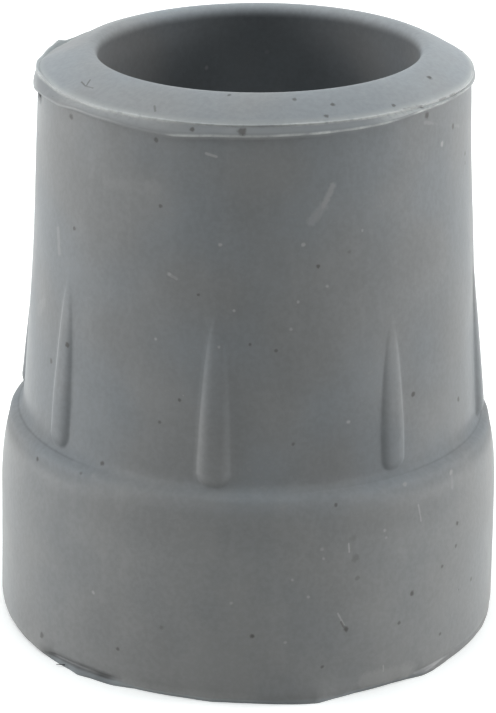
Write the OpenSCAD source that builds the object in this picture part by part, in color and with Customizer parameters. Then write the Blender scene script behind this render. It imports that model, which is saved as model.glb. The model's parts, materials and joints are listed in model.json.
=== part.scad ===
// Push-on rubber tip for a walking cane: a thick sleeve that grips the tube, a rolled rim
// round the mouth, and a wider foot with a ringed tread. It is moulded in one piece.
// The origin is the centre of the underside, and +Z points up the socket to its mouth.
// One of the ribs faces -Y, the front.

/* [Socket] */
// Diameter of the bore that grips the tube
bore_d = 26.5; // [12:0.5:40]
// Rubber under the bore, from the floor of the socket to the ground
floor_t = 12; // [5:0.5:30]
// Rounding between the bore and its floor
floor_r = 1; // [0.4:0.1:2]
// Rounding of the bore's mouth
mouth_r = 0.6; // [0.3:0.1:2]

/* [Sleeve] */
// Height from the ground to the crest of the rim
height = 49.4; // [38:0.2:90]
// Wall round the bore, just under the rim
wall = 4.6; // [3.5:0.05:9]
// How much wider the sleeve's radius is where it meets the foot
flare = 1.75; // [0.5:0.05:4]
// How far the flare's side is hollowed in from a straight line
flare_hollow = 0.18; // [0.05:0.01:0.4]

/* [Rim] */
// How far the crown of the rim falls from its crest to its outer edge
crown_drop = 1.6; // [0.8:0.1:3]
// Height of the band under the crown's outer edge
band_h = 0.8; // [0.4:0.1:2]
// How far the band leans in from its lower edge to its upper edge
band_lean = 0.6; // [0.1:0.05:1.2]
// How far the band's lower edge overhangs the sleeve
band_out = 0.35; // [0.1:0.05:1]

/* [Foot] */
// Height of the foot, from the ground to where the sleeve rises from it
foot_h = 18; // [10:0.5:28]
// Width of the small ledge round the top of the foot
ledge_w = 1; // [0.5:0.1:3]
// How far the ledge rolls down at its outer edge
ledge_drop = 0.6; // [0.3:0.05:1.5]
// How far the shoulder swells out below the ledge
swell = 0.78; // [0.2:0.02:2]
// Height of the shoulder's swelling side
swell_h = 6.3; // [2:0.1:8]
// How much wider the foot's radius is at the ground than below the shoulder
skirt_flare = 0.15; // [0:0.05:1]
// Rounding of the edge on the ground
edge_r = 0.35; // [0.1:0.05:1]

/* [Ribs] */
// Number of teardrop ribs round the sleeve
rib_n = 8; // [4:1:12]
// Height of each rib's point above the foot
rib_h = 14.5; // [6:0.5:22]
// How far the lower end of each rib stands proud of the sleeve
rib_proud = 0.55; // [0.2:0.05:1]
// Radius of each rib's round back
rib_r = 1.9; // [1:0.1:3]
// Gap between the foot and each rib's lower end
rib_gap = 0.3; // [0:0.05:2]

/* [Tread] */
// Number of ring grooves in the underside
groove_n = 3; // [1:1:4]
// Width of each groove
groove_w = 1.8; // [0.8:0.1:3]
// Depth of each groove
groove_deep = 1.2; // [0.4:0.1:2.5]
// Width of each land between two grooves
land_w = 2.6; // [1:0.1:5]
// Width of the land outside the last groove
outer_land = 4.6; // [2:0.1:8]

/* [Hidden] */

$fn = 96;
eps = 0.01;
arc_steps = 10;

// Radii, worked outwards from the bore
bore_r = bore_d / 2;
sleeve_r = bore_r + wall;
root_r = sleeve_r + flare;
ledge_r = root_r + ledge_w;
shoulder_r = ledge_r + swell;
foot_r = shoulder_r + skirt_flare;
band_r = sleeve_r + band_out;
crown_r = band_r - band_lean;
crest_r = bore_r + mouth_r;

// Heights, worked down from the rim and up from the ground
crown_z = height - crown_drop;
band_z = crown_z - band_h;
ledge_z = foot_h - ledge_drop;
swell_z = ledge_z - swell_h;

// Points on an arc round a centre, from one angle to another
function arc(centre, radius, from, to) =
    [for (i = [0 : arc_steps])
        let (a = from + (to - from) * i / arc_steps)
        centre + radius * [cos(a), sin(a)]];

// Radius of the arc that leaves its crest level and passes a point so far out and so far down
function crest_arc(out, down) = (out * out + down * down) / (2 * down);

// The sleeve's radius at a height: a shallow hollow curve from the foot to the band
function sleeve_at(z) =
    let (t = (band_z - z) / (band_z - foot_h))
    sleeve_r + flare * t - 4 * flare_hollow * t * (1 - t);

// The sleeve's side, from the foot up to the underside of the band
function sleeve_side() =
    [for (i = [0 : arc_steps])
        let (z = foot_h + (band_z - foot_h) * i / arc_steps)
        [sleeve_at(z), z]];

// The crown of the rim, from its outer edge in to its crest
function crown_arc() =
    let (r = crest_arc(crown_r - crest_r, crown_drop), a = asin((crown_r - crest_r) / r))
    arc([crest_r, height - r], r, 90 - a, 90);

// The shoulder's swelling side, from the foot's widest ring up to the ledge
function swell_side() =
    let (r = crest_arc(swell_h, swell), a = asin(swell_h / r))
    arc([shoulder_r - r, swell_z], r, 0, a);

// The ledge's rounded edge, from its foot in to the sleeve
function ledge_edge() =
    let (r = crest_arc(ledge_w, ledge_drop), a = asin(ledge_w / r))
    arc([root_r, foot_h - r], r, 90 - a, 90);

// The rounded mouth, from the crest of the rim down to the bore
function mouth_arc() = arc([crest_r, height - mouth_r], mouth_r, 90, 180);

// The round corner between the bore and the socket's floor
function floor_arc() = arc([bore_r - floor_r, floor_t + floor_r], floor_r, 0, -90);

// Half of the moulding's section, from the ground up the outside and down the socket
module half_section() {
    polygon(concat(
        [[0, 0]],
        arc([foot_r - edge_r, edge_r], edge_r, -90, 0),
        swell_side(),
        ledge_edge(),
        sleeve_side(),
        [[band_r, band_z]],
        crown_arc(),
        mouth_arc(),
        floor_arc(),
        [[0, floor_t]]
    ));
}

// The sections of the tread's ring grooves, stepped inwards from the foot's edge
module tread_section() {
    for (i = [1 : groove_n])
        translate([foot_r - outer_land - i * groove_w - (i - 1) * land_w, -eps])
            square([groove_w, groove_deep + eps]);
}

// One teardrop rib: a round bar that leans into the sleeve, with a ball for its lower end
module rib() {
    ball_z = foot_h + rib_gap + sqrt(rib_r * rib_r - (rib_r - rib_proud) * (rib_r - rib_proud));
    point_z = foot_h + rib_h;
    low = [sleeve_at(ball_z) + rib_proud - rib_r, ball_z];
    point = [sleeve_at(point_z) - rib_r, point_z];
    lean = atan2(low.x - point.x, point.y - low.y);
    // The half turn puts the bar's own seam inside the wall
    translate([low.x, 0, low.y]) rotate([0, -lean, 0]) rotate(180) {
        cylinder(r = rib_r, h = norm(point - low) + rib_r);
        sphere(r = rib_r);
    }
}

// The ribs, evenly round the sleeve from the front, which faces -Y
module ribs() {
    for (i = [0 : rib_n - 1])
        rotate([0, 0, -90 + i * 360 / rib_n]) rib();
}

// The whole moulding
module cane_tip() {
    color([0.42, 0.42, 0.43]) {
        // The revolve starts and ends midway between two ribs
        rotate(180 / rib_n) rotate_extrude() difference() {
            half_section();
            tread_section();
        }
        ribs();
    }
}

cane_tip();
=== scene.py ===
"""Rubber tip for a walking cane, moulded in one piece, on a plain pale floor.

Angles go round the tip in degrees. They start at the front, which faces -Y, and grow towards +X.
"""

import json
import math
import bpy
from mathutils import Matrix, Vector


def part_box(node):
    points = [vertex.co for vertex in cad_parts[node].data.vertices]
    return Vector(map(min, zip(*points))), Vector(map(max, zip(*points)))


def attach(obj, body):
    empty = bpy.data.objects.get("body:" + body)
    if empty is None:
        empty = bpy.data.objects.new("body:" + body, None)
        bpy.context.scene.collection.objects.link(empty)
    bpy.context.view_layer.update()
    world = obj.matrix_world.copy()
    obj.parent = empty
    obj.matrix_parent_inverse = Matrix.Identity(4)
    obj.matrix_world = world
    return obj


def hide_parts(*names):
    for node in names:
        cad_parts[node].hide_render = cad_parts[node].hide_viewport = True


bl_info = {
    "name": "Rubber Cane Tip",
    "version": (1, 0, 0),
    "blender": (4, 5, 0),
    "location": "View3D > Sidebar > Cane Tip",
    "description": "Builds a push-on rubber tip for a walking cane, with a pale stage for it",
    "category": "Object",
}

import bpy
import numpy as np
from bpy.props import FloatProperty, FloatVectorProperty, IntProperty, PointerProperty
from bpy.types import Operator, Panel, PropertyGroup
from mathutils import Matrix, Vector, geometry, noise

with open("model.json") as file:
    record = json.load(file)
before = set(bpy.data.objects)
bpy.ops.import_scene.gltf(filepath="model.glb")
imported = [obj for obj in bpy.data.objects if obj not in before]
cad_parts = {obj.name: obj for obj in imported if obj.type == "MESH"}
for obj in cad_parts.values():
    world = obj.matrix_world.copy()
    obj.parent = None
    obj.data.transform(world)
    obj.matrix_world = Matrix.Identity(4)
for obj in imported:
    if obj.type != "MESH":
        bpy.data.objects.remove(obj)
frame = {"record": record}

NODE = "cane_tip"
BODY = "root"
MM = 0.001
# Half the width of the floor, in metres, and the camera's sensor width, in millimetres
FLOOR_HALF = 3.0
SENSOR_WIDTH = 36.0


def mount(name):
    """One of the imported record's mounts, by its name."""
    return next(m for m in frame["record"]["mounts"] if m["name"] == name)


CAD_LOW, CAD_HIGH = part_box(NODE)
BORE_RADIUS = mount("bore")["dims"]["r_mm"] * MM
SEAT_HEIGHT = mount("tube_seat")["pos_m"][2]


# ---- settings


def length(name, description, default, low=0.0, high=0.1):
    """A length that the user can change, shown in the scene's own unit."""
    return FloatProperty(name=name, description=description, default=default, min=low, max=high,
                         subtype="DISTANCE", unit="LENGTH", precision=5)


def angle(name, description, default):
    """An angle that the user can change."""
    return FloatProperty(name=name, description=description, default=math.radians(default),
                         subtype="ANGLE", unit="ROTATION")


def colour(name, description, default):
    """A colour that the user can change."""
    return FloatVectorProperty(name=name, description=description, default=default, min=0.0,
                               max=1.0, subtype="COLOR", size=3)


def power(name, description, default):
    """A lamp's power."""
    return FloatProperty(name=name, description=description, default=default, min=0.0, unit="POWER")


def share(name, description, default):
    """A share from nothing to all."""
    return FloatProperty(name=name, description=description, default=default, min=0.0, max=1.0,
                         subtype="FACTOR")


class TipForm(PropertyGroup):
    """Sizes of the moulding."""

    height: length("Height", "From the ground to the crest of the rim", CAD_HIGH.z - CAD_LOW.z)
    foot_radius: length("Foot radius", "Radius of the foot at the ground", CAD_HIGH.x)
    bore_radius: length("Bore radius", "Radius of the socket that grips the tube", BORE_RADIUS)
    seat: length("Seat", "Height of the socket's floor", SEAT_HEIGHT)
    wall: length("Wall", "Rubber round the bore, just under the rim", 4.6 * MM)
    flare: length("Flare", "How much wider the sleeve is at the foot", 1.75 * MM)
    hollow: length("Hollow", "How far the sleeve's side is hollowed in", 0.18 * MM)
    mouth: length("Mouth", "Rounding of the bore's mouth", 0.6 * MM)
    mouth_shift: length("Mouth shift", "How far the mouth is off centre, towards +X", 0.28 * MM)
    crown_drop: length("Crown drop", "From the crest of the rim to its outer edge", 1.65 * MM)
    band: length("Band", "Height of the band under the crown", 0.7 * MM)
    band_lean: length("Band lean", "How far the band leans in at the front", 0.6 * MM)
    band_out: length("Band overhang", "How far the band overhangs the sleeve", 0.35 * MM)
    foot: length("Foot", "Height of the foot", 18 * MM)
    ledge: length("Ledge", "Width of the small ledge on top of the foot", 1 * MM)
    ledge_drop: length("Ledge drop", "How far the ledge rolls down at its edge", 0.6 * MM)
    swell: length("Swell", "How far the shoulder swells out below the ledge", 0.78 * MM)
    swell_height: length("Swell height", "Height of the swelling side", 6.3 * MM)
    dip: length("Dip", "Depth of the soft dip under the ledge", 0.03 * MM)
    skirt_flare: length("Skirt flare", "How much wider the foot is at the ground", 0.15 * MM)
    rib_count: IntProperty(name="Ribs", description="Ribs round the sleeve", default=8, min=1, max=16)
    rib_height: length("Rib height", "From the foot to each rib's point", 14.5 * MM)
    rib_proud: length("Rib depth", "How far a rib's lower end stands proud", 0.55 * MM)
    rib_back: length("Rib back", "Radius of each rib's round back", 1.9 * MM)
    rib_gap: length("Rib gap", "From the foot to each rib's lower end", 0.0)
    groove_count: IntProperty(name="Grooves", description="Rings in the tread", default=3, min=1, max=4)
    groove: length("Groove", "Width of each tread groove", 1.8 * MM)
    groove_depth: length("Groove depth", "Depth of each tread groove", 1.2 * MM)
    land: length("Land", "Rubber between two grooves", 2.6 * MM)
    outer_land: length("Outer land", "Rubber outside the last groove", 4.6 * MM)
    seam: length("Mould line", "How far the mould lines stand proud", 0.03 * MM)
    tilt_back: length("Rim rise, back", "How much higher the rim is at the back", 0.23 * MM)
    tilt_side: length("Rim rise, side", "How much higher the rim is at +X", 0.44 * MM)
    sink: length("Rim sink", "How far the rim lies below its drawn height", 0.03 * MM)
    lean: length("Sleeve lean", "How far the sleeve bows towards +X", 0.12 * MM)
    wave: length("Waviness", "How uneven the moulded sides are", 0.035 * MM)


class RubberFinish(PropertyGroup):
    """Colours and finish of the rubber."""

    base: colour("Rubber", "The rubber's own grey", (0.191, 0.201, 0.208))
    # Among the pale marks this colour also draws one painted highlight
    pale: colour("Scuffed", "Where the rubber is rubbed or dusty", (0.36, 0.36, 0.355))
    dark: colour("Pitted", "Pits and specks of dirt", (0.075, 0.072, 0.068))
    seam: colour("Mould line", "The thin raised mould lines", (0.5, 0.515, 0.51))
    # The foot's colour below the ledge, paler and warmer: a dusty film, and painted light from the floor
    dust_and_light: colour("Dust", "Where the foot is dusty", (0.241, 0.243, 0.242))
    # The flash colour is paler than the rubber: painted light on flash whose faces lie in shade
    flash: colour("Flash", "The thin flash at the edges", (0.26, 0.285, 0.3))
    roughness: share("Roughness", "How dull the rubber is", 0.37)
    specks: share("Specks", "How strongly the small specks show", 0.9)


class StageLook(PropertyGroup):
    """Floor, light and camera."""

    floor: colour("Floor", "The floor's colour", (0.92, 0.9, 0.87))
    floor_glow: colour("Floor glow", "What the eye sees of the floor in full shade", (0.48, 0.505, 0.52))
    side_light: power("Side lights", "Power of each low side light", 4.9)
    top_light: power("Top light", "Power of the broad light overhead", 4.75)
    back_light: power("Back light", "Power of the light behind", 2.2)
    cool: colour("Cool light", "Tint of the lights overhead and behind", (0.93, 0.98, 1.0))
    camera_turn: angle("Camera turn", "How far the camera stands round towards +X", 8.2)
    camera_pan: angle("Camera pan", "How far the camera looks to its left", 0.049)
    camera_tilt: angle("Camera tilt", "How far the camera looks down", 20.976)
    camera_roll: angle("Camera roll", "How far the camera leans over", 0.946)
    camera_out: length("Camera distance", "From the tip's axis, along the floor", 224.11 * MM, high=5.0)
    camera_up: length("Camera height", "Above the floor", 107.94 * MM, high=5.0)
    lens: FloatProperty(name="Lens", description="The camera's focal length", default=141.4,
                        min=1.0, unit="CAMERA")


# ---- shape helpers


def smooth_step(low, high, value):
    """0 below low, 1 above high, and a smooth rise between them."""
    t = np.clip((value - low) / (high - low), 0, 1)
    return t * t * (3 - 2 * t)


def arc_from(centre, value):
    """Signed angle from a centre, from -180 to 180 degrees."""
    return (value - centre + 180) % 360 - 180


def stretch(az, centre, half, soft):
    """1 over a stretch round the tip, and 0 away from it."""
    return 1 - smooth_step(half, half + soft, np.abs(arc_from(centre, az)))


def hump(value, centre, width):
    """1 at a centre, and ever less on both sides of it."""
    return np.exp(-((value - centre) / width) ** 2)


def ragged(az, steps, seed):
    """Uneven values from -1 to 1 round the tip."""
    levels = np.random.default_rng(seed).uniform(-1, 1, steps)
    return np.interp(az % 360, np.arange(steps) * 360 / steps, levels, period=360)


def outline(az, points):
    """Straight stretches round the tip through (angle, value) points, with 0 past both ends."""
    angles, values = zip(*points)
    return np.interp(arc_from(0, az), angles, values, left=0, right=0)


# Flash that stands out from the edge on the ground, as (angle, how far in millimetres)
GROUND_LIP = (
    (-66, 0), (-50, 0.13), (-40, 0.35), (-34, 0.44), (-31, 0.68), (-28, 0.5), (-22, 0.45), (-17, 0),
    (-5, 0), (1, 0.25), (4, 0.15), (9, 0.2), (24, 0.86), (28, 0.45), (33, 0.1), (43, 0.06), (47, 0.22),
    (51, 0.6), (54, 0.58), (61, 0.24), (70, 0.2), (82, 0.2), (88, 0.12), (94, 0),
)
# Share of that lip that is thin peeled flash; the rest of it swells the foot's side
PEELED = ((-44, 0), (-40, 1), (-18, 1), (-14, 0.3), (30, 0.3), (36, 0), (45, 0), (49, 0.7), (94, 0.7))
# Thin wall of flash on the crown's outer edge, as (angle, how high in millimetres)
CROWN_LIP = (
    (-120, 0), (-115, 0.12), (-108, 0.24), (-105, 0.5), (-101, 0.38), (-97, 0.33), (-93, 0.22),
    (-86, 0.17), (-76, 0.12), (-66, 0.08), (-56, 0),
)
# The band's height round the tip, as (angle, share of its plain height)
BAND_SHARE = (
    (-130, 1.1), (-73, 1.6), (-58, 1.0), (-51, 1.05), (-42, 0.75), (-26, 1.05), (-12, 1.4), (-2, 1.05),
    (8, 1.0), (28, 0.9), (42, 0.75), (53, 0.45), (60, 0.3), (73, 0.3), (86, 0.5), (120, 0.9),
)
# Angle that the rim's tilt, the sleeve's lean, the side's dullness and the painted light and shade are
# measured from
DATUM = 8
# Angle of the middle of the stretch where the band pinches in
PINCH_CENTRE = 72
# Where the band is rubbed pale beside the pinch, as stretch() takes it
RUBBED_BAND = (66, 18, 12)
# How far the band's two edges waver up and down
EDGE_WAVER = 0.03 * MM
# How much darker the painted shade under the ledge is
UNDER_LEDGE_SHADE = 0.07
# How far the columns of the mesh spread round a rib where there is no rib
EVEN_SPREAD = 8.4
# Columns of the mesh across each rib and from its side to the middle of the next gap
RIB_COLUMNS = 24
GAP_COLUMNS = 19
# Where the gap's columns begin, beside the rib's own half width
RIB_SHOULDER = 1.12
# How flat each rib's back is: 1 is round
RIB_FLAT = 1.5
# How far the sleeve spreads over the ledge in a soft corner
FILLET = 0.3 * MM
# How the crown curves: 1 is a cone, and 2 is a parabola
CROWN_BEND = 1.35
# How pale the crown, the mouth and the bore are, beside the rest of the rubber
# The crown's paleness is painted light from above and painted reflection
CROWN_PAINTED_LIGHT = 1.56
# The mouth's darkness is painted shade going down into the bore
MOUTH_PAINTED_SHADE = 0.8
BORE_SHADE = 1.0
# How glossy the bore, the crown and the mouth are, beside the rest of the rubber
BORE_GLOSS = 0.6
CROWN_GLOSS = 0.5
MOUTH_GLOSS = 0.2


def rightward(az):
    """1 a quarter turn to the right of the datum, -1 a quarter turn to its left, and 0 between."""
    return np.sin(np.radians(az - DATUM))


class TipShape:
    """The moulding's surface: its radii and heights at any angle round it."""

    def __init__(self, form):
        self.form = form
        self.sleeve_radius = form.bore_radius + form.wall
        self.root_radius = self.sleeve_radius + form.flare
        self.ledge_radius = self.root_radius + form.ledge
        self.shoulder_radius = self.ledge_radius + form.swell
        self.band_radius = self.sleeve_radius + form.band_out
        self.crown_radius = self.band_radius - form.band_lean
        self.ledge_height = form.foot - form.ledge_drop
        self.swell_foot = self.ledge_height - form.swell_height
        self.mean_crest = form.height - form.sink
        self.band_foot = self.mean_crest - form.crown_drop - form.band
        # Heights of the ball that ends each rib, and of the rib's point
        flat = form.rib_back - form.rib_proud
        self.rib_ball = form.foot + form.rib_gap + math.sqrt(form.rib_back ** 2 - flat ** 2)
        self.rib_point = form.foot + form.rib_height

    def rise(self, az):
        """How far the rim is out of level: higher at the back and towards +X."""
        backward = np.cos(np.radians(az - DATUM))
        return (self.form.tilt_side * rightward(az) - self.form.tilt_back * backward) / 2

    def crest(self, az):
        """Height of the rim's crest."""
        return self.mean_crest + self.rise(az)

    def mouth(self, az):
        """Rounding of the bore's mouth: it is softer at the back."""
        return self.form.mouth * (1 + 0.75 * (1 - stretch(az, DATUM, 60, 70)))

    def crest_out(self, az):
        """Radius of the rim's crest."""
        return self.form.bore_radius + self.mouth(az) + self.mouth_off(az)

    def mouth_off(self, az):
        """How much further out the mouth of the bore is at an angle: it is a little off centre."""
        return self.form.mouth_shift * rightward(az)

    def crown_edge(self, az):
        """Radius and height of the crown's outer edge, where it meets the band."""
        off = arc_from(DATUM, az)
        wide = np.maximum(smooth_step(35, 75, off), smooth_step(68, 88, -off))
        radius = self.crown_radius + 0.65 * self.form.band_lean * wide
        height = self.mean_crest - self.form.crown_drop + 0.55 * self.form.tilt_side * rightward(az)
        gutter = 0.25 * MM * stretch(az, -102, 10, 8)
        return radius, height + EDGE_WAVER * ragged(az, 40, 3) - gutter

    def band_edge(self, az):
        """Radius and height of the band's lower edge."""
        top = self.crown_edge(az)[1]
        angles, shares = zip(*BAND_SHARE)
        drop = self.form.band * np.interp(az, angles, shares, period=360)
        pinch = stretch(az, PINCH_CENTRE, 28, 45)
        out = self.band_radius + 0.05 * MM * stretch(az, -82, 12, 25) - 0.1 * MM * pinch
        return out, top - drop + EDGE_WAVER * ragged(az, 60, 5)

    def sleeve(self, z):
        """The sleeve's radius at a height, without its ribs."""
        form = self.form
        t = (self.band_foot - z) / (self.band_foot - form.foot)
        return self.sleeve_radius + form.flare * t - 4 * form.hollow * t * (1 - t)

    def rib_axis(self, z):
        """Distance of a rib's own axis from the tip's axis at a height."""
        form = self.form
        low = self.sleeve(self.rib_ball) + form.rib_proud - form.rib_back
        high = self.sleeve(self.rib_point) - form.rib_back
        return low + (high - low) * (z - self.rib_ball) / (self.rib_point - self.rib_ball)

    def rib_spread(self, z):
        """Half of the angle that a rib covers at a height, in degrees."""
        form = self.form
        sleeve = self.sleeve(z)
        proud = self.rib_axis(max(z, self.rib_ball)) + form.rib_back - sleeve
        proud = max(proud, 0.02 * MM)
        half = math.sqrt(form.rib_back ** 2 - (form.rib_back - proud) ** 2)
        return math.degrees(half / sleeve)

    def ribs(self, az, z):
        """Radius of the nearest rib's back, or 0 where it has none."""
        form = self.form
        step = 360 / form.rib_count
        off = np.radians((az + step / 2) % step - step / 2)
        back = np.sqrt(np.maximum(form.rib_back ** 2 - np.minimum(z - self.rib_ball, 0) ** 2, 0))
        low = 1 - smooth_step(form.foot, form.foot + 5 * MM, z)
        sunk = (0.1 + 0.13 * low) * stretch(az, 45, 15, 5) + 0.12 * low * stretch(az, -45, 15, 5)
        axis = self.rib_axis(np.maximum(z, self.rib_ball)) - sunk * MM
        half = np.sqrt(np.maximum(back ** 2 - (self.sleeve(z) - axis) ** 2, (0.05 * MM) ** 2))
        inside = back ** 2 - (half * np.abs(axis * np.sin(off) / half) ** RIB_FLAT) ** 2
        return np.where(inside > 0, axis * np.cos(off) + np.sqrt(np.maximum(inside, 0)), 0)

    def side(self, az, z):
        """The sleeve with its ribs, which meet it in a small soft corner."""
        fillet = (1 - np.clip((z - self.form.foot) / (0.6 * MM), 0, 1)) ** 2
        sleeve = self.sleeve(z) + FILLET * fillet
        corner = 0.025 * MM
        ribs = np.maximum(self.ribs(az, z), sleeve - 2 * MM)
        plain = 0.5 * (sleeve + ribs + np.sqrt((sleeve - ribs) ** 2 + corner ** 2)) - 0.25 * corner
        bow = smooth_step(17 * MM, 20 * MM, z) * (1 - smooth_step(31 * MM, 43 * MM, z))
        return plain + self.form.lean * bow * rightward(az)

    def foot_side(self, z):
        """The foot's radius at a height: a plain skirt, then a swelling shoulder with a soft dip."""
        form = self.form
        skirt = form.foot_radius - form.skirt_flare * z / self.swell_foot
        up = np.clip((z - self.swell_foot) / form.swell_height, 0, 1)
        dip = form.dip * hump(z, self.ledge_height - 0.75 * MM, 0.65 * MM)
        return np.where(z < self.swell_foot, skirt, self.shoulder_radius - form.swell * up ** 2) - dip

    def skirt(self, az, z):
        """The foot's side with the swelling over the ground's edge."""
        bulge = outline(az, GROUND_LIP) * MM * (1 - outline(az, PEELED))
        return self.foot_side(z) + bulge * (1 - smooth_step(0, 2.5 * MM, z))

    def crown(self, az, radius):
        """The crown's height at a radius: level at the crest, and ever steeper down to its outer edge."""
        out, low = self.crown_edge(az)
        inner = self.crest_out(az)
        part = np.clip((radius - inner) / (out - inner), 0, 1)
        return self.crest(az) - (self.crest(az) - low) * part ** CROWN_BEND

    def side_painted_light_and_gloss(self, az, z):
        """Shade and gloss of the outer side: paler round the ledge, as painted light, and duller there, as if
        dusty; darker under the ledge, as painted shade.
        """
        dust_and_light = hump(z, self.ledge_height + 0.3 * MM, 0.9 * MM)
        away = 1 - stretch(az, DATUM, 18, 30)
        gloss = 1 - (0.6 + 0.4 * away) * dust_and_light ** (1 - 0.6 * away)
        under = hump(z, self.ledge_height - 2.3 * MM, 1.5 * MM)
        # Painted shade under the ledge, at the front and at the right
        under_ledge_shade = UNDER_LEDGE_SHADE * under * (stretch(az, DATUM, 45, 12) + stretch(az, 47, 14, 14))
        return 1 + 0.3 * dust_and_light - under_ledge_shade, gloss

    def wall_point(self, az, z):
        """A point on the outer side, on the foot, sleeve or band."""
        edge, edge_z = self.band_edge(az)
        top, top_z = self.crown_edge(az)
        if z < self.form.foot:
            radius = self.skirt(az, z)
        elif z < edge_z:
            radius = self.side(az, z)
        else:
            radius = edge + (top - edge) * (z - edge_z) / (top_z - edge_z)
        return place(az, float(radius), z)

    def crown_point(self, az, radius):
        """A point on the crown."""
        return place(az, radius, float(self.crown(az, radius)))

    def bore_point(self, az, z):
        """A point in the bore."""
        return place(az, self.form.bore_radius, z)


def place(az, radius, z):
    """The point at an angle, a radius and a height."""
    a = math.radians(az)
    return Vector((radius * math.sin(a), -radius * math.cos(a), z))


# ---- the moulding's mesh


def columns(shape, level):
    """Angles of the mesh's columns at a height: they crowd round the ribs and follow their sides."""
    form = shape.form
    low_share = smooth_step(shape.swell_foot, shape.ledge_height, level)
    high_share = 1 - smooth_step(shape.rib_point, shape.band_foot - 2 * MM, level)
    spread = shape.rib_spread(min(max(level, form.foot), shape.rib_point))
    spread = EVEN_SPREAD + (max(spread, 0.9) - EVEN_SPREAD) * low_share * high_share
    half = 180 / form.rib_count
    rib = np.linspace(-spread, spread, RIB_COLUMNS + 1)
    gap = np.linspace(RIB_SHOULDER * spread, half, GAP_COLUMNS + 1)
    one = np.concatenate([-gap[::-1], rib, gap[:-1]])
    return np.concatenate([one + i * 2 * half for i in range(form.rib_count)])


class Lattice:
    """Rings of points, stacked from the underside round to the socket's floor."""

    def __init__(self, shape):
        self.shape = shape
        self.rings = []

    def ring(self, az, radius, z, seam=0.0, flash=0.0, shade=1.0, gloss=1.0):
        """Adds a ring, with how much mould line and flash there is on it, its shade, which is painted light
        and shade, and its gloss.
        """
        flat = np.zeros_like(az)
        values = (radius, z, seam, flash, shade, gloss)
        self.rings.append(np.stack([az, *(value + flat for value in values)]))

    def side_ring(self, az, radius, z, darker=0.0):
        """Adds a ring of the outer side, with its painted light and shade and its gloss; darker adds more
        painted shade.
        """
        shade, gloss = self.shape.side_painted_light_and_gloss(az, z)
        self.ring(az, radius, z, shade=shade - darker, gloss=gloss)

    def at(self, level):
        """Angles of the columns at a height."""
        return columns(self.shape, level)


def add_underside(lattice):
    """The tread: flat lands with ring grooves between them, and soft corners."""
    form = lattice.shape.form
    az = lattice.at(0)
    soft = 0.18 * MM
    deep = form.groove_depth
    # A groove's wall, as how far into the groove and how high
    wall = [(-soft, 0), (-0.3 * soft, 0.3 * soft), (0, soft), (0, deep - soft), (soft, deep)]
    pitch = form.groove + form.land
    lattice.ring(az, 1.5 * MM, 0)
    for i in reversed(range(form.groove_count)):
        outer = form.foot_radius - form.outer_land - i * pitch
        for into, up in wall:
            lattice.ring(az, outer - form.groove + into, up)
        for into, up in reversed(wall):
            lattice.ring(az, outer - into, up)
    lattice.ring(az, form.foot_radius - form.outer_land / 2, 0)


def add_ground_edge(lattice):
    """The edge on the ground, with the ragged flash that the mould left on it."""
    shape = lattice.shape
    az = lattice.at(0)
    behind = 0.12 * MM * (1 - stretch(az, 0, 75, 20)) * (1 + 0.8 * ragged(az, 25, 12))
    lip = outline(az, GROUND_LIP) * MM * outline(az, PEELED) + behind + 0.03 * MM * ragged(az, 90, 11)
    lip = np.maximum(lip, 0)
    base = shape.skirt(az, 0) - 0.33 * MM
    peel = np.clip(lip / (0.3 * MM), 0, 1)
    thin = peel * stretch(az, -30, 20, 10)
    # The flash colour also covers the front of the edge, as painted light there
    cool = np.maximum(thin, 0.85 * stretch(az, 5, 42, 8))
    left = stretch(az, -32, 8, 6)
    front = stretch(az, -6, 13, 8)
    rough = ragged(az, 170, 14)
    # Painted shade darkens the peeled lip at the left and its far end; painted light pales the front
    edge = 1 - (0.2 + 0.15 * rough) * left - 0.3 * stretch(az, -50, 6, 4) + 0.3 * front
    # The edge is darker at the right, too
    edge -= 0.15 * stretch(az, 57, 16, 10)
    # Painted shadow in the groove above the peeled lip, and painted light at the front
    groove = 1 - (0.5 + 0.25 * rough) * left + 0.2 * front
    top = 0.32 * MM + 0.08 * MM * ragged(az, 50, 13) + 0.12 * MM * peel
    dull = 1 - 0.7 * thin
    lattice.ring(az, base - 0.5 * MM, 0)
    # The share of the lip, what lies outside it, the height, the share of flash and the shade
    for part, out, up, cover, shade in (
            (1, 0, 0, 1, edge), (1, 0, 0.05 * MM, 1, edge), (0.9, 0.04 * MM, 0.45 * top, 1, edge),
            (0.6, 0.12 * MM, 0.8 * top, 0.8, edge), (0.2, 0.2 * MM, top, 0.3, groove)):
        lattice.ring(az, base + part * lip + out, up, flash=cover * cool, shade=shade, gloss=dull)
    lattice.ring(az, base + 0.24 * MM - 0.1 * MM * peel, top + 0.14 * MM, shade=groove)
    # Just above, painted shade at the left and painted light at the front
    lattice.ring(az, base + 0.27 * MM - 0.05 * MM * peel, top + 0.3 * MM, shade=1 - 0.2 * left + 0.15 * front)


def between_levels(low, *stages):
    """Even heights up to the end of each (end, how many) stage in turn, without the first height."""
    levels = []
    for end, count in stages:
        levels.extend(np.linspace(low, end, count + 1)[1:])
        low = end
    return levels


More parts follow.
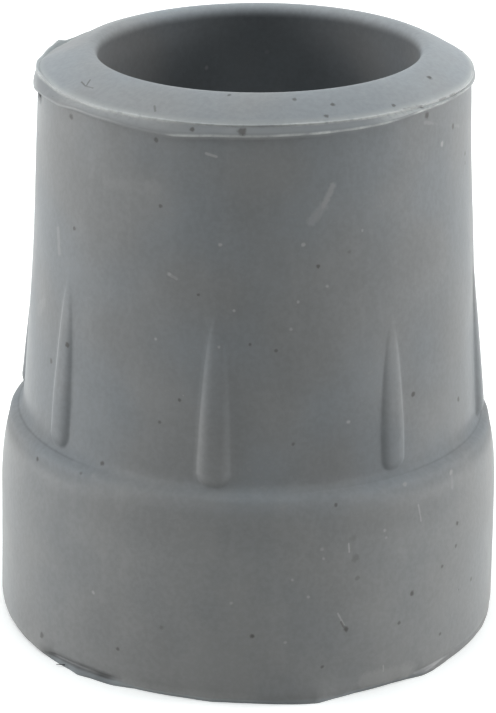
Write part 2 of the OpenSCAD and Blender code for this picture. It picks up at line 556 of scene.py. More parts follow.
def add_foot(lattice):
    """The skirt, the swelling shoulder and the small rolled ledge on top of it."""
    shape = lattice.shape
    form = shape.form
    for z in np.linspace(1.1 * MM, shape.swell_foot, 15):
        lattice.ring(lattice.at(z), shape.skirt(lattice.at(z), z), z)
    for z in between_levels(shape.swell_foot, (shape.ledge_height - 1.6 * MM, 7), (shape.ledge_height, 7)):
        lattice.side_ring(lattice.at(z), shape.foot_side(z), z)
    low = Vector((shape.ledge_radius, shape.ledge_height))
    top = Vector((shape.root_radius + FILLET, form.foot))
    handles = (low + Vector((-0.1 * MM, 0.25 * MM)), top + Vector((0.2 * MM, -0.14 * MM)))
    for radius, z in geometry.interpolate_bezier(low, *handles, top, 7)[1:-1]:
        lattice.side_ring(lattice.at(z), radius, z)


def add_sleeve(lattice):
    """The sleeve and its ribs, from the foot up to the band."""
    shape = lattice.shape
    low = shape.form.foot
    levels = between_levels(
        low, (shape.rib_ball + 0.4 * MM, 14), (shape.rib_point - 2 * MM, 21),
        (shape.rib_point + 1.5 * MM, 7), (shape.band_foot - 0.9 * MM, 12),
    )
    for z in (low, *levels):
        az = lattice.at(z)
        # Painted shade: a dark crease line where the sleeve meets the ledge, away from the front, and a
        # painted shadow beside the right rib, near the foot
        corner = (0.22 if z == low else 0) * (1 - stretch(az, DATUM, 36, 12))
        rib_shadow = 0.13 * stretch(az, 36, 6, 12) * (1 - smooth_step(low + MM, low + 8 * MM, z))
        lattice.side_ring(az, shape.side(az, z), z, corner + rib_shadow)


def add_band(lattice):
    """The band under the crown, with a raised mould line along each of its edges."""
    shape = lattice.shape
    seam = shape.form.seam
    az = lattice.at(shape.band_foot)
    low_r, low_z = shape.band_edge(az)
    top_r, top_z = shape.crown_edge(az)
    sleeve = shape.sleeve(low_z)
    beads = 1 + 0.7 * ragged(az, 120, 21) * stretch(az, PINCH_CENTRE, 45, 20) + 0.3 * ragged(az, 60, 22)
    faint = (1 - 0.75 * stretch(az, -60, 22, 12)) * (1 - 0.85 * stretch(az, -26, 11, 6))
    lower = 0.8 * np.clip(beads, 0.15, 2) * faint * (1 - 0.4 * stretch(az, 41, 8, 8))
    upper = np.clip(1.1 + 0.35 * ragged(az, 75, 23), 0.5, 1.5)
    upper *= 1 - 0.35 * stretch(az, 0, 10, 8) - 0.35 * stretch(az, -75, 20, 15)
    upper *= 1 + 0.3 * stretch(az, *RUBBED_BAND)
    bead = seam * lower
    # The radius, how far above the band's edge in millimetres, and the share of mould line
    for radius, up, part in (
            (sleeve, -0.45, 0), (sleeve, -0.2, 0.1), (sleeve + 0.3 * (low_r - sleeve), -0.12, 0.35),
            (low_r + 0.3 * bead, -0.08, 0.85), (low_r + bead, -0.02, 1), (low_r + 0.8 * bead, 0.05, 1),
            (low_r - 0.02 * MM, 0.1, 0.45)):
        lattice.ring(az, radius, low_z + up * MM, seam=part * lower)
    tall = top_z - low_z - 0.22 * MM
    for part in np.linspace(0, 1, 8)[1:-1]:
        radius = low_r + (top_r - low_r) * part ** 1.25
        pale = 0.12 + 0.3 * part * stretch(az, -33, 14, 12) + 0.6 * stretch(az, *RUBBED_BAND)
        lattice.ring(az, radius, low_z + 0.1 * MM + tall * part, seam=pale)
    lip = outline(az, CROWN_LIP) * MM * (1 + 0.12 * ragged(az, 150, 24))
    wall = np.clip(lip / (0.2 * MM), 0, 1)
    out = 0.3 * lip
    # The thin flash wall and the crevice at its foot are paler by painted light, over the shade that falls on
    # them
    rim = {"flash": 0.7 * wall, "shade": CROWN_PAINTED_LIGHT * (1 + 0.4 * wall)}
    bead = seam * upper
    lattice.ring(az, top_r, top_z - 0.1 * MM, seam=0.7 * upper)
    lattice.ring(az, top_r + bead, top_z - 0.03 * MM, seam=upper)
    lattice.ring(az, top_r + bead + out, top_z + 0.5 * lip, seam=upper, flash=0.3 * wall)
    lattice.ring(az, top_r + 0.7 * bead + out, top_z + 0.03 * MM + lip, seam=upper)
    lattice.ring(az, top_r - 0.05 * MM + out, top_z + 0.04 * MM + lip, seam=upper, **rim)
    lattice.ring(az, top_r - 0.09 * MM + 0.3 * out, top_z + 0.02 * MM + 0.5 * lip,
                 seam=upper * (0.8 - 0.6 * wall), **rim)
    lattice.ring(az, top_r - 0.14 * MM, top_z + 0.03 * MM, seam=upper * (0.8 - 0.5 * wall),
                 shade=CROWN_PAINTED_LIGHT * (1 + 0.15 * wall))


def add_crown(lattice):
    """The rounded crown and the mouth of the bore."""
    shape = lattice.shape
    form = shape.form
    az = lattice.at(form.height)
    edge, _ = shape.crown_edge(az)
    inner = shape.crest_out(az)
    mouth = shape.mouth(az)
    # The crown's shade is painted light: paler at the front, more at the right, and most at the back towards
    # the crest
    back = 0.4 * (1 - stretch(az, DATUM, 100, 40))
    pale = CROWN_PAINTED_LIGHT * (1 + 0.04 * stretch(az, DATUM, 15, 35) + 0.1 * stretch(az, 85, 25, 25))
    for part in np.linspace(0, 1, 17)[:-1]:
        radius = edge - 0.2 * MM + (inner - edge + 0.2 * MM) * part
        shade = pale + back * part
        lattice.ring(az, radius, shape.crown(az, radius), seam=max(0, 0.6 - 7 * part), shade=shade,
                     gloss=CROWN_GLOSS)
    # Down the mouth the painted light turns to painted shade
    for part in np.linspace(0, 1, 10):
        turn = part * math.pi / 2
        shade = pale + back + (MOUTH_PAINTED_SHADE - pale - back) * smooth_step(0.35, 1, part)
        z = shape.crest(az) - mouth * (1 - math.cos(turn))
        gloss = CROWN_GLOSS + (MOUTH_GLOSS - CROWN_GLOSS) * part
        lattice.ring(az, inner - mouth * math.sin(turn), z, shade=shade, gloss=gloss)


def add_socket(lattice):
    """The bore, the round corner at its foot and the socket's floor."""
    form = lattice.shape.form
    az = lattice.at(form.height)
    corner = 1 * MM
    top = form.height - lattice.shape.mouth(az) - 0.4 * MM
    for part in np.linspace(0, 1, 12)[1:]:
        shift = lattice.shape.mouth_off(az) * (1 - part)
        z = top + (form.seat + corner - top) * part ** 1.2
        # Painted shade at the top of the bore, which fades out a little way down
        shade = MOUTH_PAINTED_SHADE + (BORE_SHADE - MOUTH_PAINTED_SHADE) * smooth_step(0, 0.2, part)
        lattice.ring(az, form.bore_radius + shift, z, shade=shade, gloss=BORE_GLOSS)
    for turn in np.radians((18, 36, 54, 72, 90)):
        radius = form.bore_radius - corner * (1 - math.cos(turn))
        z = form.seat + corner * (1 - math.sin(turn))
        lattice.ring(az, radius, z, shade=BORE_SHADE, gloss=BORE_GLOSS)
    for radius in (8, 4, 1.5):
        lattice.ring(az, radius * MM, form.seat, shade=BORE_SHADE, gloss=BORE_GLOSS)


def uneven(points, form):
    """Pushes the sides in and out a little, as a soft moulding cools, but not the ground or the bore."""
    radius = np.hypot(points[:, 0], points[:, 1])
    outside = smooth_step(form.bore_radius + 0.3 * MM, form.bore_radius + 2 * MM, radius)
    outside *= smooth_step(0.5 * MM, 3 * MM, points[:, 2])
    broad = np.array([noise.noise(Vector(p) / (9 * MM)) for p in points])
    small = np.array([noise.noise(Vector(p) / (2.2 * MM) + Vector((7, 3, 1))) for p in points])
    push = form.wave * (broad + 0.28 * small) * outside
    points[:, :2] *= (1 + push / np.maximum(radius, MM))[:, None]
    return points


def tube_faces(rows, across):
    """Faces between rings of points, each ring joined round to its own start."""
    faces = []
    for i in range(rows - 1):
        for j in range(across):
            k = (j + 1) % across
            faces.append((i * across + j, i * across + k, (i + 1) * across + k, (i + 1) * across + j))
    return faces


def lattice_mesh(name, lattice):
    """One closed mesh from the rings, with its mould lines, flash, shade and gloss as named attributes."""
    form = lattice.shape.form
    grid = np.stack(lattice.rings)
    rows, _, across = grid.shape
    az, radius, z = np.radians(grid[:, 0]), grid[:, 1], grid[:, 2]
    points = np.stack([radius * np.sin(az), -radius * np.cos(az), z], axis=-1).reshape(-1, 3)
    # The two last points close the underside and the socket's floor
    points = np.vstack([uneven(points, form), (0, 0, 0), (0, 0, form.seat)])
    last = rows * across
    faces = tube_faces(rows, across)
    top = (rows - 1) * across
    for j in range(across):
        k = (j + 1) % across
        faces.append((last, k, j))
        faces.append((last + 1, top + j, top + k))
    mesh = bpy.data.meshes.new(name)
    mesh.from_pydata(points.tolist(), [], faces)
    for index, (attribute, *middles) in enumerate(
            (("seam", 0, 0), ("flash", 0, 0), ("shade", 1, BORE_SHADE), ("gloss", 1, BORE_GLOSS)), 3):
        layer = mesh.attributes.new(attribute, "FLOAT", "POINT")
        values = np.append(grid[:, index].reshape(-1), middles)
        layer.data.foreach_set("value", values.astype(np.float32))
    mesh.shade_smooth()
    mesh.validate()
    return mesh


# ---- shader nodes


class Bench:
    """Adds nodes to one node tree and joins them up."""

    def __init__(self, tree):
        self.tree = tree
        tree.nodes.clear()

    def node(self, kind, **settings):
        node = self.tree.nodes.new(kind)
        for key, value in settings.items():
            setattr(node, key, value)
        return node

    def feed(self, socket, value):
        """Joins a socket to another one, or gives it a plain value."""
        if isinstance(value, bpy.types.NodeSocket):
            self.tree.links.new(value, socket)
        elif value is not None:
            socket.default_value = value

    def feed_all(self, node, **inputs):
        """Feeds a node's inputs by name, with _ for a space, and gives the node back."""
        for key, value in inputs.items():
            self.feed(node.inputs[key.replace("_", " ")], value)
        return node

    def math(self, operation, a, b=None, clamp=False):
        node = self.node("ShaderNodeMath", operation=operation, use_clamp=clamp)
        self.feed(node.inputs[0], a)
        self.feed(node.inputs[1], b)
        return node.outputs[0]

    def plus(self, a, b, clamp=False):
        return self.math("ADD", a, b, clamp)

    def times(self, a, b, clamp=False):
        return self.math("MULTIPLY", a, b, clamp)

    def most(self, a, b):
        return self.math("MAXIMUM", a, b)

    def vector(self, operation, a, b=None, scale=None, output=0):
        node = self.node("ShaderNodeVectorMath", operation=operation)
        self.feed(node.inputs[0], a)
        self.feed(node.inputs[1], b)
        if scale is not None:
            self.feed(node.inputs["Scale"], scale)
        return node.outputs[output]

    def between(self, value, low, high, start=0.0, end=1.0):
        """Maps a range of values smoothly to another."""
        node = self.node("ShaderNodeMapRange", interpolation_type="SMOOTHSTEP")
        return self.feed_all(node, Value=value, From_Min=low, From_Max=high, To_Min=start,
                             To_Max=end).outputs[0]

    def blend(self, share_socket, a, b, way="MIX"):
        node = self.node("ShaderNodeMix", data_type="RGBA", blend_type=way)
        self.feed(node.inputs[0], share_socket)
        self.feed(node.inputs[6], a)
        self.feed(node.inputs[7], b)
        return node.outputs[2]

    def noise(self, vector, scale, detail=2.0, rough=0.5):
        node = self.node("ShaderNodeTexNoise")
        return self.feed_all(node, Vector=vector, Scale=scale, Detail=detail, Roughness=rough).outputs[0]

    def group(self, tree, **inputs):
        """Places a node group, and gives its outputs."""
        return self.feed_all(self.node("ShaderNodeGroup", node_tree=tree), **inputs).outputs

    def attribute(self, name):
        return self.node("ShaderNodeAttribute", attribute_name=name).outputs["Fac"]

    def finish(self, kind, shader):
        """Joins the last shader to the tree's output."""
        self.feed(self.node(kind).inputs[0], shader.outputs[0])


def new_group(name, inputs, outputs):
    """An empty shader node group with named sockets, its bench and its two end nodes."""
    tree = bpy.data.node_groups.new(name, "ShaderNodeTree")
    for socket, kind, default in inputs:
        made = tree.interface.new_socket(socket, in_out="INPUT", socket_type=kind)
        if default is not None:
            made.default_value = default
    for socket, kind in outputs:
        tree.interface.new_socket(socket, in_out="OUTPUT", socket_type=kind)
    bench = Bench(tree)
    return tree, bench, bench.node("NodeGroupInput").outputs, bench.node("NodeGroupOutput").inputs


FLOAT = "NodeSocketFloat"
VECTOR = "NodeSocketVector"
# The values between which the cloudy noise shows
CLOUD = (0.3, 0.7)
# How fine the drift in tint is, and the ragged edges of the marks and of the specks
DRIFT_SCALE = 110.0
MARK_EDGE_SCALE = 3500.0
SPECK_EDGE_SCALE = 4200.0


def new_material(name):
    """An empty material, and the bench for its nodes."""
    material = bpy.data.materials.new(name)
    material.use_nodes = True
    return material, Bench(material.node_tree)


def make_grain_group():
    """The rubber's skin: a fine matte grain, broad cloudy patches and faint upright streaks."""
    tree, bench, given, out = new_group(
        "rubber_grain",
        [("Place", VECTOR, None), ("Grain Scale", FLOAT, 2200.0), ("Cloud Scale", FLOAT, 160.0)],
        [("Grain", FLOAT), ("Cloud", FLOAT), ("Streak", FLOAT)],
    )
    here = given["Place"]
    bench.feed(out["Grain"], bench.noise(here, given["Grain Scale"], 4.0, 0.6))
    bench.feed(out["Cloud"], bench.noise(here, given["Cloud Scale"], 4.0, 0.55))
    long = bench.vector("MULTIPLY", here, (1.0, 1.0, 0.16))
    bench.feed(out["Streak"], bench.noise(long, bench.times(given["Cloud Scale"], 4.0), 3.0))
    return tree


def make_speck_group():
    """Small scattered specks: some of the cells of a loose pattern hold one ragged dot."""
    tree, bench, given, out = new_group(
        "specks",
        [("Place", VECTOR, None), ("Scale", FLOAT, 250.0), ("Size", FLOAT, 0.1), ("Share", FLOAT, 0.4)],
        [("Mask", FLOAT)],
    )
    cells = bench.node("ShaderNodeTexVoronoi")
    bench.feed_all(cells, Vector=given["Place"], Scale=given["Scale"])
    pick = bench.feed_all(bench.node("ShaderNodeSeparateColor"), Color=cells.outputs["Color"])
    size = bench.times(given["Size"], bench.between(pick.outputs[1], 0.0, 1.0, 0.45, 1.3))
    edge = bench.times(bench.noise(given["Place"], SPECK_EDGE_SCALE, 1.0), size)
    ragged_distance = bench.plus(cells.outputs["Distance"], edge)
    dot = bench.between(ragged_distance, size, bench.times(size, 1.7), 1.0, 0.0)
    chosen = bench.math("LESS_THAN", pick.outputs[0], given["Share"])
    bench.feed(out["Mask"], bench.times(dot, chosen))
    return tree


def mark_edge(bench, given, apart):
    """A mark's own mask, from how far away it is: full near its middle, with a soft ragged edge."""
    ratio = bench.plus(bench.math("DIVIDE", apart, given["Width"]), given["Wobble"])
    return bench.between(ratio, 0.3, 0.9, given["Strength"], 0.0)


MARK_INPUTS = [("Width", FLOAT, 0.0002), ("Strength", FLOAT, 1.0), ("Wobble", FLOAT, 0.0)]


def make_spot_group():
    """One small round mark."""
    tree, bench, given, out = new_group(
        "spot", [("Place", VECTOR, None), ("Start", VECTOR, None), *MARK_INPUTS], [("Mask", FLOAT)])
    apart = bench.vector("DISTANCE", given["Place"], given["Start"], output=1)
    bench.feed(out["Mask"], mark_edge(bench, given, apart))
    return tree


def make_stroke_group():
    """One long mark, between two points."""
    tree, bench, given, out = new_group(
        "stroke", [("Place", VECTOR, None), ("Start", VECTOR, None), ("End", VECTOR, None), *MARK_INPUTS],
        [("Mask", FLOAT)])
    along = bench.vector("SUBTRACT", given["End"], given["Start"])
    off = bench.vector("SUBTRACT", given["Place"], given["Start"])
    whole = bench.vector("DOT_PRODUCT", along, along, output=1)
    part = bench.math("DIVIDE", bench.vector("DOT_PRODUCT", off, along, output=1), whole, clamp=True)
    near = bench.vector("SCALE", along, scale=part)
    bench.feed(out["Mask"], mark_edge(bench, given, bench.vector("DISTANCE", off, near, output=1)))
    return tree


# Dark spots on the sides, as (angle, height, width, strength)
DARK_SPOTS = (
    (-7.2, 47.2, 0.3, 1), (5.3, 47.3, 0.55, 1), (-16.7, 46, 0.3, 0.8), (-45.9, 46.1, 0.4, 0.9),
    (-70.5, 42.6, 0.3, 0.8), (-15.2, 40.8, 0.25, 0.8), (-43.2, 37.1, 0.3, 0.9), (57.8, 47, 0.4, 1),
    (55.7, 47.8, 0.3, 0.8), (70.9, 45.2, 0.35, 0.9), (80.6, 42.1, 0.3, 0.8), (80.6, 41.3, 0.25, 0.7),
    (24.6, 36.4, 0.25, 0.9), (32.8, 37.3, 0.25, 0.4), (-43.3, 27.3, 0.35, 1), (-51.4, 25, 0.35, 0.9),
    (-4.8, 34, 0.2, 0.8), (8.1, 30.2, 0.2, 0.8), (14.4, 29.7, 0.2, 0.7), (-8.8, 25.2, 0.22, 0.8),
    (-13.7, 23.1, 0.22, 0.7), (51.8, 24.3, 0.35, 1), (71.3, 21.9, 0.35, 0.9), (18.7, 21.9, 0.22, 0.7),
    (62.6, 12.3, 0.3, 1), (62.3, 10.3, 0.25, 0.8), (28.1, 16.9, 0.25, 0.8), (-29.1, 18.5, 0.3, 0.9),
    (-49.2, 16.9, 0.3, 0.8), (-33.2, 17.6, 0.25, 0.7),
    (9.6, 6.1, 0.3, 1), (30.5, 6.1, 0.35, 1), (47.6, 7.8, 0.34, 1), (44.1, 5.5, 0.25, 0.8),
    (25.2, 3, 0.22, 0.8), (57.2, 9.1, 0.25, 0.8), (32.4, 12.3, 0.55, 0.4), (32.9, 10.5, 0.32, 0.4),
    (31.8, 14, 0.45, 0.25), (70.3, 6.1, 0.3, 0.7),
    (57.3, 2.9, 0.25, 0.8), (-44.3, 1.7, 0.4, 0.8), (-20.8, 3.4, 0.25, 0.8), (-10.4, 6.2, 0.3, 0.4),
)
# Pale spots on the sides
PALE_SPOTS = (
    (0.4, 38.2, 0.25, 0.9), (20.8, 38.2, 0.25, 0.9), (64.8, 44.2, 0.35, 0.9), (-15.5, 29.9, 0.2, 0.8),
    (-12.3, 35.4, 0.22, 0.8), (4.1, 32.9, 0.2, 0.8), (0.7, 29.9, 0.2, 0.8), (19.7, 33.6, 0.2, 0.8),
    (18, 31.4, 0.2, 0.7), (32.5, 23.3, 0.25, 0.8), (27, 34.7, 0.2, 0.7), (61.9, 16.8, 0.35, 1),
    (24.6, 13.4, 0.22, 0.5), (39.7, 14.1, 0.22, 0.7), (40.1, 13.5, 0.2, 0.6), (46.3, 17.4, 0.3, 0.8),
    (-27.5, 7.8, 0.25, 0.9),
    (5, 9, 0.25, 0.9), (21.7, 9.4, 0.2, 0.8), (18.1, 11, 0.2, 0.8), (16.8, 5.5, 0.2, 0.8),
    (25, 12.6, 0.2, 0.7), (-29.6, 17.9, 0.5, 0.6),
)
# Pale spots in the bore
BORE_SPOTS = ((-153, 44.1, 0.3, 0.8), (183.7, 45.4, 0.3, 0.3))
# Pale rubs and scratches on the sides, and one painted highlight, as (angle, height, next angle, next height,
# width, strength)
PALE_STROKES = (
    (28.3, 42.8, 25.8, 41.2, 0.4, 0.5), (25.8, 41.2, 22.7, 40, 0.6, 0.3),
    (-51.1, 36.3, -50.1, 34.4, 0.4, 0.4),
    # The first stroke on the next line is a painted highlight on a shallow dent
    (-62, 28.3, -58, 29.4, 0.8, 0.25), (-31.5, 41.8, -16.4, 42.2, 0.8, 0.12),
    (-12.6, 35.4, -10.5, 35.1, 0.2, 0.4),
    (-3.6, 45.4, -1, 45.2, 0.17, 0.8), (28.5, 7.6, 30, 6.5, 0.13, 0.9), (35.5, 1.1, 46.3, 0.9, 1.1, 0.4),
    (30.8, 13.6, 30.9, 12.9, 0.13, 1), (49.5, 15.4, 50, 14, 0.13, 0.6), (61.9, 16.6, 61.5, 15.6, 0.3, 0.3),
    (40.1, 2, 40.1, 1.5, 0.13, 0.9), (57, 46.5, 75, 44.9, 0.25, 0.3),
)
# Dark scratches and gaps on the sides, in the same way
DARK_STROKES = (
    (29.3, 6.8, 30.6, 5.9, 0.15, 0.6), (50, 47.95, 56, 47.9, 0.18, 0.4), (63.4, 47.9, 66, 47.9, 0.2, 0.45),
    (68.5, 47.9, 70.8, 47.9, 0.2, 0.4),
)
# Dark nicks on the crown, as (angle, radius, next angle, next radius, width, strength)
CROWN_STROKES = (
    (-51.5, 16, -47.8, 16.2, 0.11, 0.7), (-49.5, 15.5, -47.8, 16.1, 0.11, 0.7),
    (-47.8, 16.2, -44.4, 16.1, 0.1, 0.5), (-20, 16.4, -18.8, 16.9, 0.15, 0.5),
)
# Dark spots on the crown, as (angle, radius, width, strength)
CROWN_SPOTS = (
    (70, 15.8, 0.4, 1), (30.6, 15.9, 0.3, 0.9), (20, 15, 0.3, 0.8), (27.3, 17, 0.3, 0.8),
    (47.9, 17, 0.3, 0.8), (0.3, 14.3, 0.25, 0.8),
)


def marks_at(point, marks):
    """The marks with their one or two ends in the moulding, which point() gives from each number pair."""
    placed = []
    for *pairs, width, strength in marks:
        ends = [point(az, out * MM) for az, out in zip(pairs[::2], pairs[1::2])]
        placed.append((ends, width * MM, strength))
    return placed


def add_marks(bench, here, groups, wobble, marks):
    """The strongest of several marks at each point: a mark with one end is a spot, and with two a stroke."""
    mask = None
    for ends, width, strength in marks:
        kind = groups["spot" if len(ends) == 1 else "stroke"]
        mark = bench.group(kind, Place=here, Wobble=wobble, Width=width, Strength=strength,
                           **dict(zip(("Start", "End"), ends)))[0]
        mask = mark if mask is None else bench.most(mask, mark)
    return mask


def rgba(tint, scale=1.0):
    """A colour, or a paler or darker one, for a colour socket."""
    return (*(scale * part for part in tint), 1.0)


def make_rubber(finish, shape, groups):
    """Matte grey rubber with cloudy patches, streaks, specks, nicks and paler mould lines."""
    material, bench = new_material("moulded_rubber")
    here = bench.node("ShaderNodeTexCoord").outputs["Object"]
    grain = bench.group(groups["grain"], Place=here)
    fine, cloud, streak = grain["Grain"], grain["Cloud"], grain["Streak"]
    seam, flash, gloss = (bench.attribute(name) for name in ("seam", "flash", "gloss"))

    tone = bench.blend(bench.between(cloud, *CLOUD), rgba(finish.base, 0.94), rgba(finish.base, 1.05))
    drift = bench.between(bench.noise(here, DRIFT_SCALE, 1.0), 0.35, 0.65)
    tone = bench.blend(1.0, tone, bench.blend(drift, (1.025, 1.0, 0.98, 1.0), (0.98, 1.0, 1.02, 1.0)),
                       "MULTIPLY")
    axes = bench.feed_all(bench.node("ShaderNodeSeparateXYZ"), Vector=here)
    # Below the ledge the foot turns to its dusty colour, which is also painted light from the floor
    low = bench.between(axes.outputs["Z"], 15.5 * MM, 18 * MM, 1.0, 0.0)
    rubbed = bench.times(bench.between(cloud, 0.52, 0.68), bench.between(fine, 0.5, 0.7))
    for layer, tint in ((bench.times(low, bench.between(cloud, *CLOUD, 0.45, 0.85)), finish.dust_and_light),
                        (bench.between(streak, 0.55, 0.8, 0.0, 0.08), finish.pale),
                        (bench.between(fine, 0.35, 0.65, 0.0, 0.12), finish.dark),
                        (bench.times(rubbed, 0.15), finish.pale),
                        # The flash colour is painted light on flash that lies in shade
                        (bench.times(flash, 0.8), finish.flash)):
        tone = bench.blend(layer, tone, rgba(tint))
    # The shade attribute scales the colour: painted light and shade from the mesh
    tone = bench.vector("SCALE", tone, scale=bench.attribute("shade"))
    worn_seam = bench.times(seam, bench.between(fine, 0.25, 0.6, 0.45, 0.95), clamp=True)
    tone = bench.blend(worn_seam, tone, rgba(finish.seam))

    dots = bench.group(groups["specks"], Place=here, Scale=260.0, Size=0.045, Share=0.35)[0]
    aside = bench.vector("ADD", here, (0.3, 0.1, 0.2))
    motes = bench.group(groups["specks"], Place=aside, Scale=300.0, Size=0.04, Share=0.35)[0]
    wobble = bench.times(bench.math("SUBTRACT", bench.noise(here, MARK_EDGE_SCALE), 0.5), 0.8)
    outside = bench.between(gloss, BORE_GLOSS, 1.0)
    side, crown = shape.wall_point, shape.crown_point
    pits = [*marks_at(side, DARK_SPOTS), *marks_at(crown, CROWN_SPOTS),
            *marks_at(side, DARK_STROKES), *marks_at(crown, CROWN_STROKES)]
    nicks = [*marks_at(side, PALE_SPOTS), *marks_at(shape.bore_point, BORE_SPOTS),
             *marks_at(side, PALE_STROKES)]
    dots = bench.times(dots, outside)
    motes = bench.times(motes, outside)
    dark = bench.most(bench.times(dots, 0.8), add_marks(bench, here, groups, wobble, pits))
    pale = bench.most(bench.times(motes, 0.5), add_marks(bench, here, groups, wobble, nicks))
    tone = bench.blend(bench.times(pale, 0.8 * finish.specks), tone, rgba(finish.pale))
    tone = bench.blend(bench.times(dark, finish.specks), tone, rgba(finish.dark))

    rough = bench.between(cloud, *CLOUD, finish.roughness - 0.05, finish.roughness + 0.06)
    rough = bench.plus(rough, bench.between(gloss, 0.0, 1.0, 0.6, 0.0))
    rough = bench.plus(rough, bench.times(worn_seam, 0.12))
    rough = bench.plus(rough, bench.times(pale, 0.12), clamp=True)

    relief = bench.times(fine, 0.012 * MM)
    for way, layer, height in (("ADD", cloud, 0.06), ("SUBTRACT", dots, 0.06), ("ADD", motes, 0.015)):
        relief = bench.math(way, relief, bench.times(layer, height * MM))
    bump = bench.feed_all(bench.node("ShaderNodeBump"), Distance=1.0, Height=relief)

    shader = bench.feed_all(bench.node("ShaderNodeBsdfPrincipled"), Base_Color=tone, Roughness=rough,
                            Normal=bump.outputs[0], Specular_IOR_Level=0.3)
    bench.finish("ShaderNodeOutputMaterial", shader)
    return material


def seen_directly(bench):
    """1 where the eye sees something itself or mirrored, and 0 for the light it sheds on other things."""
    path = bench.node("ShaderNodeLightPath")
    seen = bench.most(path.outputs["Is Camera Ray"], path.outputs["Is Glossy Ray"])
    return bench.most(seen, path.outputs["Is Transmission Ray"])


def make_floor_material(look):
    """A pale floor that looks white to the eye and keeps the object's shadow, with a painted contact shadow
    in its glow.
    """
    material, bench = new_material("pale_floor")
    cloud = bench.noise(bench.node("ShaderNodeTexCoord").outputs["Object"], 6.0, 3.0)
    tint = bench.blend(cloud, rgba(look.floor, 0.99), rgba(look.floor))
    shader = bench.feed_all(bench.node("ShaderNodeBsdfDiffuse"), Color=tint)
    # The glow is dimmed where ambient occlusion finds the object near: a painted contact shadow
    near = bench.feed_all(bench.node("ShaderNodeAmbientOcclusion", samples=8), Distance=2.6 * MM)
    contact_shadow = bench.math("MULTIPLY_ADD", near.outputs["AO"], 0.5)
    bench.feed(contact_shadow.node.inputs[2], 0.5)
    glow = bench.feed_all(bench.node("ShaderNodeEmission"), Color=rgba(look.floor_glow),
                          Strength=bench.times(seen_directly(bench), contact_shadow))
    both = bench.node("ShaderNodeAddShader")
    bench.feed(both.inputs[0], shader.outputs[0])
    bench.feed(both.inputs[1], glow.outputs[0])
    bench.finish("ShaderNodeOutputMaterial", both)
    return material


def make_world():
    """White to the eye and in reflections; the lamps alone light everything else."""
    world = bpy.data.worlds.new("pale_room")
    world.use_nodes = True
    bench = Bench(world.node_tree)
    sky = bench.feed_all(bench.node("ShaderNodeBackground"), Color=(1.0, 1.0, 1.0, 1.0),
                         Strength=seen_directly(bench))
    bench.finish("ShaderNodeOutputWorld", sky)
    return world


# ---- objects


def link_object(name, data):
    """A new object with that data, in the scene."""
    made = bpy.data.objects.new(name, data)
    bpy.context.scene.collection.objects.link(made)
    return made


def area_light(name, power, size, spot, target, tint=(1.0, 1.0, 1.0)):
    """A soft square lamp at a spot, facing a target."""
    lamp = bpy.data.lights.new(name, "AREA")
    lamp.energy = power
    lamp.size = size
    lamp.color = tint
    made = link_object(name, lamp)
    made.location = spot
    made.rotation_euler = (Vector(target) - Vector(spot)).to_track_quat("-Z", "Y").to_euler()


def thread_mesh(name, points, radius, sides=8):
    """A thin tapering thread of rubber along some points, closed at both ends."""
    rings = []
    count = len(points)
    for i, spot in enumerate(points):
        ahead = (points[min(i + 1, count - 1)] - points[max(i - 1, 0)]).normalized()
        side = ahead.orthogonal().normalized()
        up = ahead.cross(side)
        thick = radius * (1 - 0.6 * i / (count - 1))
        for k in range(sides):
            turn = 2 * math.pi * k / sides
            rings.append(spot + thick * (math.cos(turn) * side + math.sin(turn) * up))
    ends = [tuple(reversed(range(sides))), tuple(range((count - 1) * sides, count * sides))]
    mesh = bpy.data.meshes.new(name)
    mesh.from_pydata([tuple(p) for p in rings], [], tube_faces(count, sides) + ends)
    mesh.shade_smooth()
    return mesh


class CANETIP_OT_moulding(Operator):
    """Build the moulded rubber tip in place of its plain frame solid"""

    bl_idname = "canetip.moulding"
    bl_label = "Moulding"

    def execute(self, context):
        form = context.scene.tip_form
        if form.bore_radius >= form.foot_radius:
            raise ValueError("the bore is wider than the foot")
        shape = TipShape(form)
        lattice = Lattice(shape)
        for add in (add_underside, add_ground_edge, add_foot, add_sleeve, add_band, add_crown, add_socket):
            add(lattice)
        piece = link_object("tip_moulding", lattice_mesh("tip_moulding", lattice))
        groups = {"grain": make_grain_group(), "specks": make_speck_group(),
                  "spot": make_spot_group(), "stroke": make_stroke_group()}
        piece.data.materials.append(make_rubber(context.scene.tip_finish, shape, groups))
        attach(piece, BODY)
        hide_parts(NODE)
        return {"FINISHED"}


class CANETIP_OT_thread(Operator):
    """Add the thin thread of flash that sticks out from the ground edge"""

    bl_idname = "canetip.thread"
    bl_label = "Flash thread"

    def execute(self, context):
        material = bpy.data.materials.get("moulded_rubber")
        if material is None:
            raise ValueError("build the moulding first")
        root = context.scene.tip_form.foot_radius - 0.13 * MM
        points = [place(-35 - 0.4 * i, root + 0.107 * MM * i, (0.22 - 0.01 * i) * MM) for i in range(7)]
        piece = link_object("edge_thread", thread_mesh("edge_thread", points, 0.06 * MM))
        piece.data.materials.append(material)
        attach(piece, BODY)
        return {"FINISHED"}


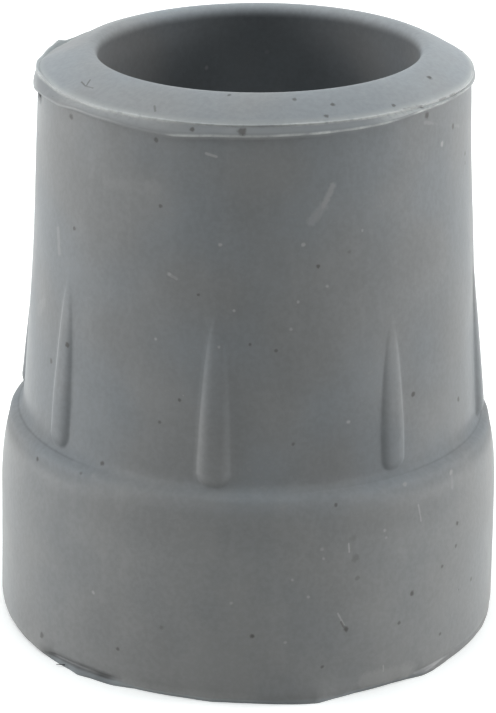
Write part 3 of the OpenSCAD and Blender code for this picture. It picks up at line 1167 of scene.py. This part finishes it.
class CANETIP_OT_stage(Operator):
    """Set up the floor, the lights and the camera"""

    bl_idname = "canetip.stage"
    bl_label = "Stage"

    def execute(self, context):
        scene = context.scene
        look = scene.tip_stage
        self.add_floor(look)
        self.add_lights(look, scene.tip_form.height / 2)
        self.add_camera(scene, look)
        scene.world = make_world()
        scene.view_settings.view_transform = "Standard"
        return {"FINISHED"}

    def add_floor(self, look):
        mesh = bpy.data.meshes.new("floor")
        corners = [(x * FLOOR_HALF, y * FLOOR_HALF, 0) for x, y in ((-1, -1), (1, -1), (1, 1), (-1, 1))]
        mesh.from_pydata(corners, [], [(0, 1, 2, 3)])
        floor = link_object("floor", mesh)
        mesh.materials.append(make_floor_material(look))

    def add_lights(self, look, half_height):
        turn = Matrix.Rotation(look.camera_turn, 3, "Z")
        middle = (0, 0, half_height)
        for name, side in (("left_light", -1), ("right_light", 1)):
            area_light(name, look.side_light, 0.4, turn @ Vector((0.8 * side, 0.056, 0.2)), middle)
        area_light("top_light", look.top_light, 1.2, Vector((0, 0, 0.6)), middle, look.cool)
        area_light("back_light", look.back_light, 0.8, turn @ Vector((0, 0.8, 0.5)), middle, look.cool)

    def add_camera(self, scene, look):
        data = bpy.data.cameras.new("camera")
        data.lens = look.lens
        data.sensor_width = SENSOR_WIDTH
        data.clip_start = 0.005
        camera = link_object("camera", data)
        turn = Matrix.Rotation(look.camera_turn, 4, "Z")
        stand = Matrix.Translation((0, -look.camera_out, look.camera_up))
        pan = Matrix.Rotation(look.camera_pan, 4, "Z")
        tilt = Matrix.Rotation(math.pi / 2 - look.camera_tilt, 4, "X")
        roll = Matrix.Rotation(look.camera_roll, 4, "Z")
        camera.matrix_world = turn @ stand @ pan @ tilt @ roll
        scene.camera = camera


class CANETIP_PT_panel(Panel):
    """Sizes, colours and buttons for the cane tip"""

    bl_idname = "CANETIP_PT_panel"
    bl_label = "Cane Tip"
    bl_space_type = "VIEW_3D"
    bl_region_type = "UI"
    bl_category = "Cane Tip"

    def draw(self, context):
        for operator in OPERATORS:
            self.layout.operator(operator.bl_idname)
        for name, group in GROUPS.items():
            box = self.layout.box()
            for setting in group.__annotations__:
                box.prop(getattr(context.scene, name), setting)


OPERATORS = (CANETIP_OT_moulding, CANETIP_OT_thread, CANETIP_OT_stage)
GROUPS = {"tip_form": TipForm, "tip_finish": RubberFinish, "tip_stage": StageLook}
CLASSES = (*GROUPS.values(), *OPERATORS, CANETIP_PT_panel)


def register():
    for cls in CLASSES:
        bpy.utils.register_class(cls)
    for name, group in GROUPS.items():
        setattr(bpy.types.Scene, name, PointerProperty(type=group))


def unregister():
    for name in GROUPS:
        delattr(bpy.types.Scene, name)
    for cls in reversed(CLASSES):
        bpy.utils.unregister_class(cls)


def plain(box):
    """A box's two corners as plain lists of numbers."""
    return [list(corner) for corner in box]


def main():
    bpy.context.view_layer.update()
    register()
    bpy.ops.canetip.moulding()
    bpy.ops.canetip.thread()
    bpy.ops.canetip.stage()


if __name__ == "__main__":
    main()
